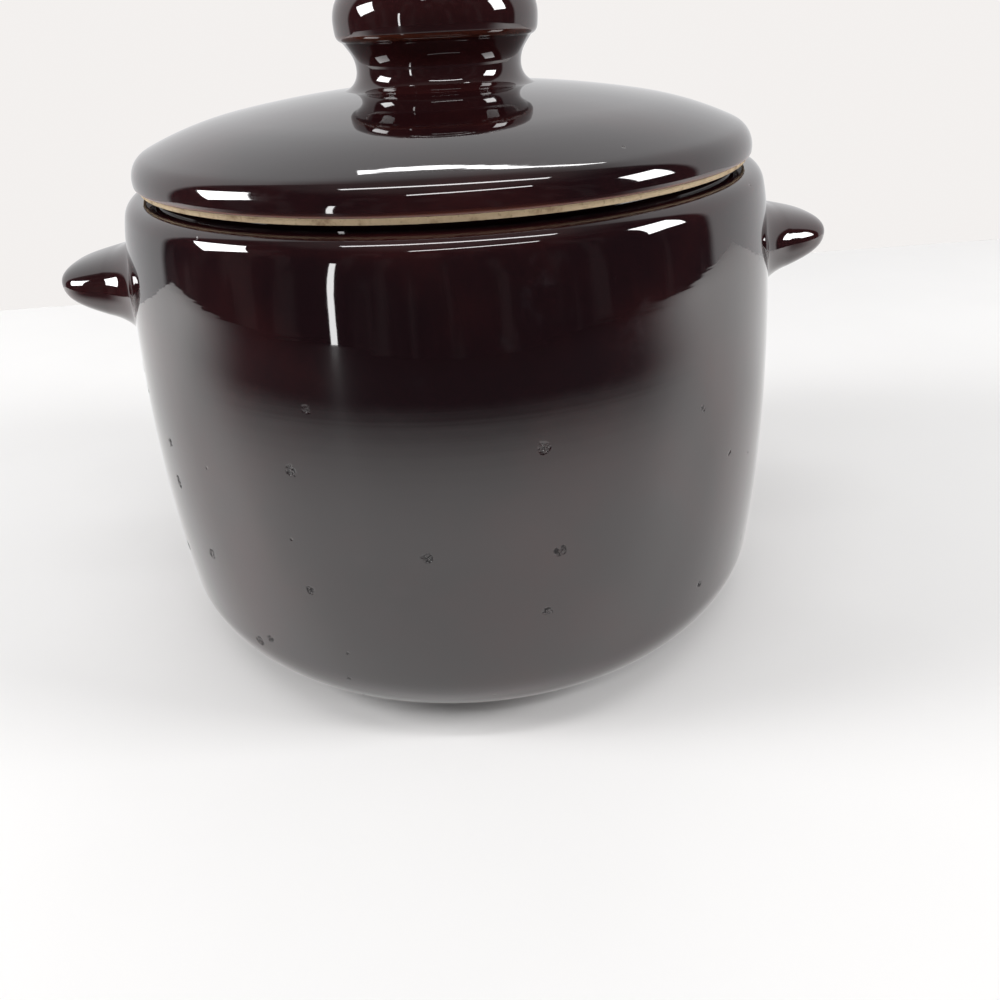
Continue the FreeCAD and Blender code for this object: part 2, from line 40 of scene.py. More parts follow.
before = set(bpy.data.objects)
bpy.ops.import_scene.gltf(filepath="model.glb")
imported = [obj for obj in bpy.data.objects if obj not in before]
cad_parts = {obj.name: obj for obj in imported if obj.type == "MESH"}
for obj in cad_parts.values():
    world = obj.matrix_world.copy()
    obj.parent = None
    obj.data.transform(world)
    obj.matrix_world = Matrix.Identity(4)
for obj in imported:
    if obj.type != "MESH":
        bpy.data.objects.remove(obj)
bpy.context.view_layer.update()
MM = 0.001


def length(name, description, millimetres):
    return FloatProperty(name=name, description=description, default=millimetres * MM,
                         unit="LENGTH", precision=5)


def colour(name, description, default):
    return FloatVectorProperty(name=name, description=description, default=default,
                               subtype="COLOR", size=3, min=0.0, max=1.0)


class PotSizes(bpy.types.PropertyGroup):
    """Sizes of the pot itself, from its foot ring to the ledge inside its lip."""
    belly_radius: length("Belly radius", "Outside of the pot at its widest", 90.15)
    belly_height: length("Belly height", "Height of the widest place", 37.0)
    wall_curve: length("Wall curve", "Radius of the wall's slow curve", 450.0)
    base_corner: length("Base corner", "Radius between the wall and the base", 18.0)
    shoulder_curve: length("Shoulder curve", "Radius of the shoulder", 41.0)
    lip_curve: length("Lip curve", "Radius over the outside of the lip", 5.0)
    crest_radius: length("Crest radius", "Radius of the lip's highest line", 77.27)
    crest_height: length("Crest height", "Height of the lip's highest line", 123.7)
    foot_radius: length("Foot radius", "Outside of the foot ring", 68.5)
    foot_width: length("Foot width", "Width of the foot ring", 7.0)
    foot_height: length("Foot height", "From the table to the base", 3.6)
    foot_recess: length("Foot recess", "Depth of the hollow inside the foot ring", 2.6)
    wall_thickness: length("Wall thickness", "Thickness of the thrown wall", 6.0)
    base_thickness: length("Base thickness", "Thickness of the floor", 7.0)
    inner_corner: length("Inner corner", "Radius between the inside wall and the floor", 12.0)
    inner_shoulder: length("Inner shoulder", "Radius inside the shoulder", 24.0)
    lip_width: length("Lip width", "From the crest in to the gallery", 2.5)
    gallery_depth: length("Gallery depth", "From the crest down to the ledge", 4.5)
    ledge_width: length("Ledge width", "Width of the ledge that the lid rests on", 8.8)
    throat_height: length("Throat height", "Thickness of the ledge at the throat", 5.5)


class LidSizes(bpy.types.PropertyGroup):
    """Sizes of the lid, measured where it rests on the pot."""
    radius: length("Radius", "Outside of the lid's rolled edge", 78.47)
    underside: length("Underside", "Height of the bare underside", 125.2)
    edge_curve: length("Edge curve", "Radius of the rolled edge", 6.0)
    edge_rise: length("Edge rise", "From the underside up to the edge's widest line", 2.1)
    brow_curve: length("Brow curve", "Radius between the rolled edge and the dome", 90.0)
    dome_curve: length("Dome curve", "Radius of the dome", 319.7)
    rise: length("Rise", "Height of the dome above the bare underside", 18.3)
    thickness: length("Thickness", "Thickness of the dome", 7.0)
    band_height: length("Band height", "Height of the bare clay band", 1.4)
    band_depth: length("Band depth", "How far the band lies inside the edge", 1.0)
    collar_radius: length("Collar radius", "Outside of the locating collar", 73.77)
    collar_width: length("Collar width", "Width of the locating collar", 6.0)
    collar_depth: length("Collar depth", "How far the collar hangs below the underside", 6.0)
    collar_fillet: length("Collar fillet", "Inside curve from the collar to the dome", 4.0)


class KnobSizes(bpy.types.PropertyGroup):
    """Sizes of the knob; heights are counted from the top of the dome."""
    root_radius: length("Root radius", "Where the lower hollow curve meets the dome", 25.5)
    root_blend: length("Root blend", "Softness of the join between knob and dome", 1.1)
    waist_radius: length("Waist radius", "Radius of the waist", 20.8)
    waist_rise: length("Waist rise", "Height of the waist", 3.7)
    undercut: FloatProperty(name="Undercut", description="Lean of the straight part under the head",
                            default=math.radians(36.0), subtype="ANGLE")
    head_radius: length("Head radius", "Radius of the head at its widest", 25.2)
    head_rise: length("Head rise", "Height of the head's widest line", 13.6)
    side_curve: length("Side curve", "Radius of the head's side above its widest line", 9.0)
    flank_curve: length("Flank curve", "Radius of the head's side below its widest line", 20.0)
    edge_curve: length("Edge curve", "Radius of the edge under the head", 2.0)
    crown_curve: length("Crown curve", "Radius of the head's crown", 48.0)


class LugSizes(bpy.types.PropertyGroup):
    """Sizes of the two lugs, which are alike."""
    height: length("Height", "Height of the middle of the tip", 99.7)
    reach: length("Reach", "How far the tip stands out from the wall", 19.9)
    width: length("Width", "Width of the tab", 33.0)
    thickness: length("Thickness", "Thickness of the tab", 12.8)
    flare_width: length("Flare width", "How far the root spreads to each side", 10.0)
    flare_height: length("Flare height", "How far the root spreads up and down", 7.5)
    flare_reach: length("Flare reach", "How far out the root's hollow curve runs", 7.0)
    flare_tail: length("Flare tail", "How far out the root's slow spread runs", 18.0)
    lift: length("Lift", "How far the tip lies above the middle of the root", 1.6)


class Finish(bpy.types.PropertyGroup):
    """Colours of the glaze and of the bare fired clay."""
    deep: colour("Deep glaze", "Where the glaze is thick", (0.0085, 0.0026, 0.0034))
    warm: colour("Warm glaze", "Where the glaze is a little thinner", (0.024, 0.0054, 0.0056))
    broken: colour("Broken glaze", "Where the glaze breaks thin over an edge", (0.120, 0.032, 0.014))
    clay: colour("Clay", "Bare fired clay", (0.56, 0.43, 0.27))
    stained_clay: colour("Stained clay", "Bare clay darkened by use", (0.27, 0.17, 0.09))
    pit: colour("Pit", "Inside a pinhole", (0.045, 0.030, 0.024))
    speck: colour("Speck", "Fine dark speck in the glaze", (0.006, 0.002, 0.002))
    smear: colour("Smear", "Faint rubbed haze", (0.085, 0.075, 0.085))
    mark: colour("Mark", "Small dark mark low on the wall", (0.004, 0.003, 0.004))
    clay_speck: colour("Clay speck", "Dark speck in the bare clay", (0.16, 0.09, 0.045))
    refraction: FloatProperty(name="Refraction", description="Index of refraction of the glaze",
                              default=1.74)
    ring_depth: length("Ring depth", "Depth of the faint throwing rings", 0.006)
    peel_depth: length("Peel depth", "Depth of the glaze's small unevenness", 0.022)
    sway_depth: length("Sway depth", "Depth of the glaze's slow unevenness", 0.09)
    pit_depth: length("Pit depth", "Depth of a pinhole", 0.15)
    mark_depth: length("Mark depth", "Roughness of a dark mark", 0.6)
    clay_depth: length("Clay depth", "Roughness of the bare clay", 0.16)


class Studio(bpy.types.PropertyGroup):
    """The camera, the floor and the light."""
    turn: FloatProperty(name="Turn", description="How far the camera stands round the pot",
                        default=math.radians(4.0), subtype="ANGLE")
    pitch: FloatProperty(name="Pitch", description="How far the camera looks down",
                         default=math.radians(31.866), subtype="ANGLE")
    roll: FloatProperty(name="Roll", description="How far the camera leans",
                        default=math.radians(-2.951), subtype="ANGLE")
    lens: FloatProperty(name="Lens", description="Focal length in millimetres", default=28.08)
    camera_side: length("Camera side", "Camera to the right of the pot", 9.755)
    camera_distance: length("Camera distance", "Camera in front of the pot", 226.303)
    camera_height: length("Camera height", "Camera above the table", 157.263)
    table_back: length("Table back", "From the pot's middle to the table's back edge", 328.0)
    table_reach: length("Table reach", "From the pot's middle to the table's other edges", 1250.0)
    floor: colour("Floor", "The pale floor", (0.90, 0.89, 0.885))
    wall: colour("Wall", "The pale wall behind", (0.90, 0.875, 0.86))
    # Painted shade: the colour the floor fades to in front of the pot, seen only by mirror rays.
    dim: colour("Dim", "The floor's far front, as the glaze mirrors it", (0.042, 0.038, 0.046))
    front_dark: colour("Front dark", "What lies in front, as mirrored", (0.030, 0.028, 0.034))
    front_light: colour("Front light", "Lighter shapes in front, as mirrored", (0.085, 0.075, 0.080))
    mirrored_wall: colour("Mirrored wall", "The wall behind, as mirrored", (0.82, 0.82, 0.83))
    ceiling: colour("Ceiling", "The ceiling, as mirrored", (0.20, 0.19, 0.19))
    soft_light: FloatProperty(name="Soft light", description="Even light from all round",
                              default=0.33)
    # Painted glow: how strongly the floor gives off light, seen only by mirror rays.
    painted_floor_glow: FloatProperty(name="Floor glow", default=0.22,
                              description="How much brighter the floor is when mirrored")
    segments: IntProperty(name="Segments", description="Steps in one turn of a thrown piece",
                          default=320, min=48, max=512)


# Profiles: arrays of (radius, height) points.

def arc(centre, radius, first, last, count=48):
    """Points on a circle: centre + radius * (cos a, sin a), with a even from first to last."""
    angles = np.linspace(first, last, count)
    return np.stack([centre[0] + radius * np.cos(angles), centre[1] + radius * np.sin(angles)], axis=1)


def angle_from(centre, point):
    return math.atan2(point[1] - centre[1], point[0] - centre[0])


def crossing(first, first_radius, second, second_radius, pick):
    """Where two circles cross. Along the line of centres the crossing lies
    (r1^2 - r2^2 + d^2) / 2d from the first, and the height over that line follows from r1."""
    first, second = np.array(first), np.array(second)
    apart = np.linalg.norm(second - first)
    along = (first_radius ** 2 - second_radius ** 2 + apart ** 2) / (2 * apart)
    aside = math.sqrt(max(first_radius ** 2 - along ** 2, 0.0))
    unit = (second - first) / apart
    normal = np.array([-unit[1], unit[0]])
    return max((first + along * unit + side * aside * normal for side in (1, -1)), key=pick)


def soften(points, radius):
    """The same profile with its corners worn round. The points are spaced evenly, and each becomes
    a bell-weighted mean of its neighbours within about the given radius."""
    step = radius / 4
    steps = np.linalg.norm(np.diff(points, axis=0), axis=1)
    travelled = np.concatenate([[0.0], np.cumsum(steps)])
    places = np.linspace(0.0, travelled[-1], int(travelled[-1] / step))
    even = np.stack([np.interp(places, travelled, points[:, axis]) for axis in (0, 1)], axis=1)
    reach = np.arange(-12, 13)
    weights = np.exp(-0.5 * (reach * step / radius * 2) ** 2)
    weights /= weights.sum()
    pad = len(reach) // 2
    padded = np.pad(even, ((pad, pad), (0, 0)), mode="reflect", reflect_type="odd")
    smooth = np.stack([np.convolve(padded[:, axis], weights, mode="valid") for axis in (0, 1)], axis=1)
    smooth[0], smooth[-1] = points[0], points[-1]
    return smooth


def spread(points, longest, turn):
    """The profile sampled more closely where it bends: each point adds its step over the longest
    step and its change of direction over the given turn, and samples are even in that sum."""
    steps = np.diff(points, axis=0)
    lengths = np.linalg.norm(steps, axis=1)
    headings = np.unwrap(np.arctan2(steps[:, 1], steps[:, 0]))
    turning = np.abs(np.diff(headings, prepend=headings[0]))
    cost = np.concatenate([[0.0], np.cumsum(lengths / longest + turning / turn)])
    samples = np.linspace(0.0, cost[-1], int(cost[-1]) + 2)
    return np.stack([np.interp(samples, cost, points[:, axis]) for axis in (0, 1)], axis=1)


def edge_share(points, radius):
    """How sharply the profile turns outwards at each point: 1 where its bend is as tight as the
    given radius, 0 where it is straight or hollow."""
    steps = np.diff(points, axis=0)
    lengths = np.linalg.norm(steps, axis=1)
    headings = np.unwrap(np.arctan2(steps[:, 1], steps[:, 0]))
    bend = np.diff(headings) / ((lengths[1:] + lengths[:-1]) / 2)
    return np.clip(np.pad(bend, 1, mode="edge") * radius, 0.0, 1.0)


def travelled(points):
    return np.concatenate([[0.0], np.cumsum(np.linalg.norm(np.diff(points, axis=0), axis=1))])


# Meshes.

def make_mesh(name, points, quads, triangles, attributes):
    """A smooth-shaded mesh from whole arrays, with one value of each attribute per point."""
    mesh = bpy.data.meshes.new(name)
    loops = np.concatenate([quads.ravel(), triangles.ravel()]).astype(np.int32)
    starts = np.concatenate([np.arange(len(quads)) * 4,
                             len(quads) * 4 + np.arange(len(triangles)) * 3]).astype(np.int32)
    mesh.vertices.add(len(points))
    mesh.vertices.foreach_set("co", points.astype(np.float32).ravel())
    mesh.loops.add(len(loops))
    mesh.loops.foreach_set("vertex_index", loops)
    mesh.polygons.add(len(starts))
    mesh.polygons.foreach_set("loop_start", starts)
    mesh.update(calc_edges=True)
    mesh.validate()
    mesh.polygons.foreach_set("use_smooth", np.ones(len(mesh.polygons), dtype=bool))
    for label, values in attributes.items():
        layer = mesh.attributes.new(label, "FLOAT", "POINT")
        layer.data.foreach_set("value", values.astype(np.float32))
    return mesh


def grid_with_poles(rows, first_pole, last_pole):
    """Joins rows of points into a closed skin: each row is a ring, neighbouring rings are joined by
    quads, and a single point closes each end with a fan. Rows run so that faces look outwards."""
    count, around, _ = rows.shape
    index = np.arange(count * around).reshape(count, around)
    beside = np.roll(index, -1, axis=1)
    quads = np.stack([index[:-1], beside[:-1], beside[1:], index[1:]], axis=-1).reshape(-1, 4)
    first, last = count * around, count * around + 1
    fan_first = np.stack([np.full(around, first), beside[0], index[0]], axis=-1)
    fan_last = np.stack([np.full(around, last), index[-1], beside[-1]], axis=-1)
    points = np.concatenate([rows.reshape(-1, 3), [first_pole, last_pole]])
    return points, quads, np.concatenate([fan_first, fan_last])


def turned(name, profile, segments, attributes, uneven=0.0):
    """A thrown piece: the profile's point (r, z) goes to (r cos a, r sin a, z) for a full turn of a.
    The radius falls short by a slow mix of waves in a and z, up to the given unevenness, because
    a hand-thrown wall is never quite round. The profile's ends lie on the axis."""
    inner = profile[1:-1]
    angles = np.linspace(0.0, 2 * math.pi, segments, endpoint=False)
    a, z = angles[None, :], inner[:, 1][:, None]
    wave = (np.sin(2 * a + 0.7 + 9 * z) + 0.6 * np.sin(3 * a + 2.1 - 25 * z)
            + 0.5 * np.sin(a + 40 * z)) / 2.1
    share = np.clip(inner[:, 0] / 0.05, 0.0, 1.0)[:, None]
    radius = inner[:, 0][:, None] - uneven * share * (0.5 + 0.5 * wave)
    rows = np.stack([radius * np.cos(a), radius * np.sin(a), np.broadcast_to(z, radius.shape)], axis=-1)
    ends = [(0.0, 0.0, profile[0, 1]), (0.0, 0.0, profile[-1, 1])]
    points, quads, triangles = grid_with_poles(rows, *ends)
    spread_out = {label: np.concatenate([np.repeat(values[1:-1], segments), values[[0, -1]]])
                  for label, values in attributes.items()}
    return make_mesh(name, points, quads, triangles, spread_out)


def add_piece(mesh, body, nodes, material):
    piece = bpy.data.objects.new(mesh.name, mesh)
    bpy.context.scene.collection.objects.link(piece)
    mesh.materials.append(material)
    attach(piece, body)
    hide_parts(*nodes)
    return piece


def wall_radius(sizes, height):
    """Outside radius of the pot's wall at a height: the wall is an arc whose centre lies level with
    the belly, so the radius is the centre's plus the root of curve^2 - (height off the belly)^2."""
    return (sizes.belly_radius - sizes.wall_curve
            + np.sqrt(sizes.wall_curve ** 2 - (height - sizes.belly_height) ** 2))


def pot_profile(s):
    """The pot's whole section, from the middle of the underside, over the foot ring, up the wall,
    over the lip, down the gallery and the throat and along the inside to the middle of the floor."""
    wall = (s.belly_radius - s.wall_curve, s.belly_height)

    def corner_centre(radius, reach, height):
        return (wall[0] + math.sqrt((reach - radius) ** 2 - (height - wall[1]) ** 2), height)

    corner = corner_centre(s.base_corner, s.wall_curve, s.foot_height + s.base_corner)
    lip = (s.crest_radius, s.crest_height - s.lip_curve)
    shoulder = crossing(wall, s.wall_curve - s.shoulder_curve, lip, s.shoulder_curve - s.lip_curve,
                        pick=lambda point: -point[1])
    gallery = s.crest_radius - s.lip_width
    throat = gallery - s.ledge_width
    ledge = s.crest_height - s.gallery_depth
    floor = s.foot_height + s.base_thickness
    inner_wall = s.wall_curve - s.wall_thickness
    inner_corner = corner_centre(s.inner_corner, inner_wall, floor + s.inner_corner)
    throat_foot = (throat, ledge - s.throat_height)
    inner_shoulder = crossing(wall, inner_wall - s.inner_shoulder, throat_foot, s.inner_shoulder,
                              pick=lambda point: -point[1])
    foot_inside = s.foot_radius - s.foot_width
    return np.concatenate([
        [(0, s.foot_recess), (foot_inside, s.foot_recess), (foot_inside, 0), (s.foot_radius, 0),
         (s.foot_radius, s.foot_height)],
        arc(corner, s.base_corner, -math.pi / 2, angle_from(wall, corner)),
        arc(wall, s.wall_curve, angle_from(wall, corner), angle_from(wall, shoulder)),
        arc(shoulder, s.shoulder_curve, angle_from(wall, shoulder), angle_from(shoulder, lip)),
        arc(lip, s.lip_curve, angle_from(shoulder, lip), math.pi / 2),
        [(gallery, s.crest_height), (gallery, ledge), (throat, ledge)],
        arc(inner_shoulder, s.inner_shoulder, angle_from(inner_shoulder, throat_foot),
            angle_from(wall, inner_shoulder)),
        arc(wall, inner_wall, angle_from(wall, inner_shoulder), angle_from(wall, inner_corner)),
        arc(inner_corner, s.inner_corner, angle_from(wall, inner_corner), -math.pi / 2),
        [(0, floor)],
    ])


def lid_profile(s):
    """The lid's whole section, from the middle of the underside, down and round the collar, along
    the bare underside, up the bare band, over the rolled edge and the brow to the dome's top."""
    top = s.underside + s.rise
    dome = (0.0, top - s.dome_curve)
    inner = s.dome_curve - s.thickness
    collar_in = s.collar_radius - s.collar_width
    foot = s.underside - s.collar_depth
    collar_top = (collar_in, dome[1] + math.sqrt(inner ** 2 - collar_in ** 2))
    fillet_reach = inner - s.collar_fillet
    fillet = (collar_in - s.collar_fillet,
              dome[1] + math.sqrt(fillet_reach ** 2 - (collar_in - s.collar_fillet) ** 2))
    edge = (s.radius - s.edge_curve, s.underside + s.edge_rise)
    band = s.radius - s.band_depth
    edge_start = -math.asin((s.edge_rise - s.band_height) / s.edge_curve)
    brow = crossing(dome, s.dome_curve - s.brow_curve, edge, s.brow_curve - s.edge_curve,
                    pick=lambda point: -point[0])
    return np.concatenate([
        arc(dome, inner, math.pi / 2, angle_from(dome, fillet)),
        arc(fillet, s.collar_fillet, angle_from(dome, fillet), 0.0),
        [(collar_in, foot), (s.collar_radius, foot), (s.collar_radius, s.underside),
         (band, s.underside), (band, s.underside + s.band_height)],
        arc(edge, s.edge_curve, edge_start, angle_from(brow, edge)),
        arc(brow, s.brow_curve, angle_from(brow, edge), angle_from(dome, brow)),
        arc(dome, s.dome_curve, angle_from(dome, brow), math.pi / 2),
    ])


def knob_profile(s, lid):
    """The knob's section, from the dome out along a soft root, up the hollow neck and the straight
    undercut to the small edge under the head, up its flank and side and over the crown. The root's
    height is a soft maximum of the hollow curve and the dome: k log(exp(curve / k) + exp(dome / k)).
    The undercut touches the upper hollow curve, which sets that curve's radius:
    (up sin a - across cos a) / (1 - cos a) for a lean of a."""
    top = lid.underside + lid.rise
    dome_centre = top - lid.dome_curve

    def dome(radius):
        return dome_centre + np.sqrt(lid.dome_curve ** 2 - radius ** 2)

    waist = (s.waist_radius, top + s.waist_rise)
    side = (s.head_radius - s.side_curve, top + s.head_rise)
    flank = (s.head_radius - s.flank_curve, top + s.head_rise)
    flank_end = math.radians(-7.0)
    edge_end = math.radians(-78.0)
    edge = arc(flank, s.flank_curve - s.edge_curve, flank_end, flank_end, 1)[0]
    crease = arc(edge, s.edge_curve, edge_end, edge_end, 1)[0]
    crown = (0.0, side[1] - math.sqrt((s.crown_curve - s.side_curve) ** 2 - side[0] ** 2))

    root = (s.root_radius, dome(s.root_radius))
    across, up = root[0] - waist[0], root[1] - waist[1]
    lower_radius = (across ** 2 + up ** 2) / (2 * across)
    lower = (waist[0] + lower_radius, waist[1])
    lean = s.undercut
    across, up = crease[0] - waist[0], crease[1] - waist[1]
    upper_radius = (up * math.sin(lean) - across * math.cos(lean)) / (1 - math.cos(lean))
    upper = (waist[0] + upper_radius, waist[1])
    below = arc(lower, lower_radius, math.pi * 1.5, math.pi, 160)
    apart = (below[:, 1] - dome(below[:, 0])) / s.root_blend
    risen = dome(below[:, 0]) + s.root_blend * np.logaddexp(apart, -2.2) - s.root_blend * 0.17
    below = np.stack([below[:, 0], risen], axis=1)
    keep = below[:, 0] < s.root_radius + 3.2 * s.root_blend
    below = below[keep]
    skirt = below[0, 0] + 0.6 * MM
    return np.concatenate([
        [(0.0, top - 2.0 * MM), (skirt - 3 * MM, dome(skirt) - 1.5 * MM), (skirt, dome(skirt) - 0.4 * MM)],
        below,
        arc(upper, upper_radius, math.pi, math.pi - lean)[1:],
        arc(edge, s.edge_curve, edge_end, flank_end, 24),
        arc(flank, s.flank_curve, flank_end, 0.0, 24)[1:],
        arc(side, s.side_curve, 0.0, angle_from(crown, side))[1:],
        arc(crown, s.crown_curve, angle_from(crown, side), math.pi / 2),
    ])


def lug_rows(s, pot, side, around=160):
    """A lug's rings, from under the wall out to the tip. Each ring is a superellipse
    |y / a|^e + |z / b|^e = 1. In the root a and b shrink as 1 - sin t while the ring moves out as
    1 - cos t, so that the skin leaves the wall along it, and a slower spread fades as the square of
    what is left of its reach. In the tab they shrink towards the tip as (1 - u^p)^(1 / p), a little
    later in width than in height. The rings move from the curved wall over to a flat plane.
    The glaze runs thin along the tab's two side edges and over the end of its tip."""
    width_power, height_power = 2.7, 2.2
    quick_share, slow_share = 0.4, 0.6
    margin, sink = 0.8 * MM, 0.5 * MM
    t = np.linspace(0.0, math.pi / 2, 26)
    u = np.sin(np.linspace(0.0, math.pi / 2, 44))[1:-1]
    whole = np.ones(len(t) + 1)
    out = np.concatenate([[0.0], s.flare_reach * (1 - np.cos(t)),
                          s.flare_reach + (s.reach - s.flare_reach) * u])
    closing = np.concatenate([whole, (1 - u ** width_power) ** (1 / width_power)])
    taper = np.concatenate([whole, (1 - u ** height_power) ** (1 / height_power)])
    quick = np.concatenate([[1.0], 1 - np.sin(t), np.zeros_like(u)])
    slow = np.clip(1 - out / s.flare_tail, 0.0, 1.0) ** 2
    root = (quick_share * quick + slow_share * slow) * closing
    a = s.width / 2 * closing + s.flare_width * root
    b = s.thickness / 2 * taper + s.flare_height * root
    a[0], b[0] = a[0] + margin, b[0] + margin
    sunk = np.zeros_like(out)
    sunk[0] = sink
    angles = np.linspace(0.0, 2 * math.pi, around, endpoint=False)
    power = 2 / (2.0 + 0.5 * np.clip(out / s.flare_reach, 0.0, 1.0))[:, None]
    across = np.cos(angles)[None, :]
    up = np.sin(angles)[None, :]
    y = a[:, None] * np.sign(across) * np.abs(across) ** power
    share = (out / s.reach)[:, None]
    z = s.height + s.lift * share ** 2 + b[:, None] * np.sign(up) * np.abs(up) ** power
    wall = wall_radius(pot, z)
    flat = wall_radius(pot, s.height)
    x = np.sqrt(wall ** 2 - y ** 2) * (1 - share) + flat * share + out[:, None] - sunk[:, None]
    rows = np.stack([side * x, side * y, z], axis=-1)
    inside = (side * (flat - 3 * MM), 0.0, s.height)
    end = (side * (flat + s.reach), 0.0, s.height + s.lift)
    thin = 0.45 * np.clip((out / s.reach - 0.1) * 1.3, 0, 1)[:, None] * np.abs(across) ** 6
    thin = np.maximum(thin, 0.6 * np.clip((out / s.reach - 0.86) / 0.14, 0, 1)[:, None])
    return rows, inside, end, thin


# Materials.

class Nodes:
    """Short words for making and joining shader nodes."""

    def __init__(self, tree):
        self.tree = tree
        tree.nodes.clear()

    def feed(self, socket, value):
        """Joins the socket to another, or gives it a plain value."""
        if isinstance(value, bpy.types.NodeSocket):
            self.tree.links.new(value, socket)
        else:
            socket.default_value = value

    def make(self, kind, inputs=None, **settings):
        node = self.tree.nodes.new(kind)
        for key, value in settings.items():
            setattr(node, key, value)
        for key, value in (inputs or {}).items():
            self.feed(node.inputs[key], value)
        return node

    def math(self, operation, *values, clamp=False):
        node = self.make("ShaderNodeMath", operation=operation, use_clamp=clamp)
        for socket, value in zip(node.inputs, values):
            self.feed(socket, value)
        return node.outputs[0]

    def times(self, *values):
        product = values[0]
        for value in values[1:]:
            product = self.math("MULTIPLY", product, value)
        return product

    def ramp(self, value, low, high):
        """0 below low and 1 above high, with a smooth step between."""
        node = self.make("ShaderNodeMapRange", {"Value": value, "From Min": low, "From Max": high},
                         interpolation_type="SMOOTHSTEP")
        return node.outputs["Result"]

    def mix(self, share, first, second, **settings):
        node = self.make("ShaderNodeMix", {"Factor": share}, data_type="RGBA", **settings)
        self.feed(node.inputs[6], first)
        self.feed(node.inputs[7], second)
        return node.outputs[2]

    def noise(self, place, scale, detail=2.0, roughness=0.5):
        inputs = {"Vector": place, "Scale": scale, "Detail": detail, "Roughness": roughness}
        return self.make("ShaderNodeTexNoise", inputs).outputs["Fac"]

    def spots(self, place, scale):
        """How far the nearest of many scattered points is, and two random numbers for that point."""
        cells = self.make("ShaderNodeTexVoronoi", {"Vector": place, "Scale": scale}, feature="F1")
        chance = self.make("ShaderNodeSeparateColor", {"Color": cells.outputs["Color"]})
        return cells.outputs["Distance"], chance.outputs[0], chance.outputs[1]

    def bump(self, height, depth, *before):
        """The normal over a height, on top of the bump before it, if there is one."""
        inputs = {"Height": height, "Distance": depth, "Strength": 1.0}
        if before:
            inputs["Normal"] = before[0]
        return self.make("ShaderNodeBump", inputs).outputs[0]

    def attribute(self, name):
        return self.make("ShaderNodeAttribute", attribute_name=name).outputs["Fac"]


def full(colour_value):
    return (*colour_value, 1.0)


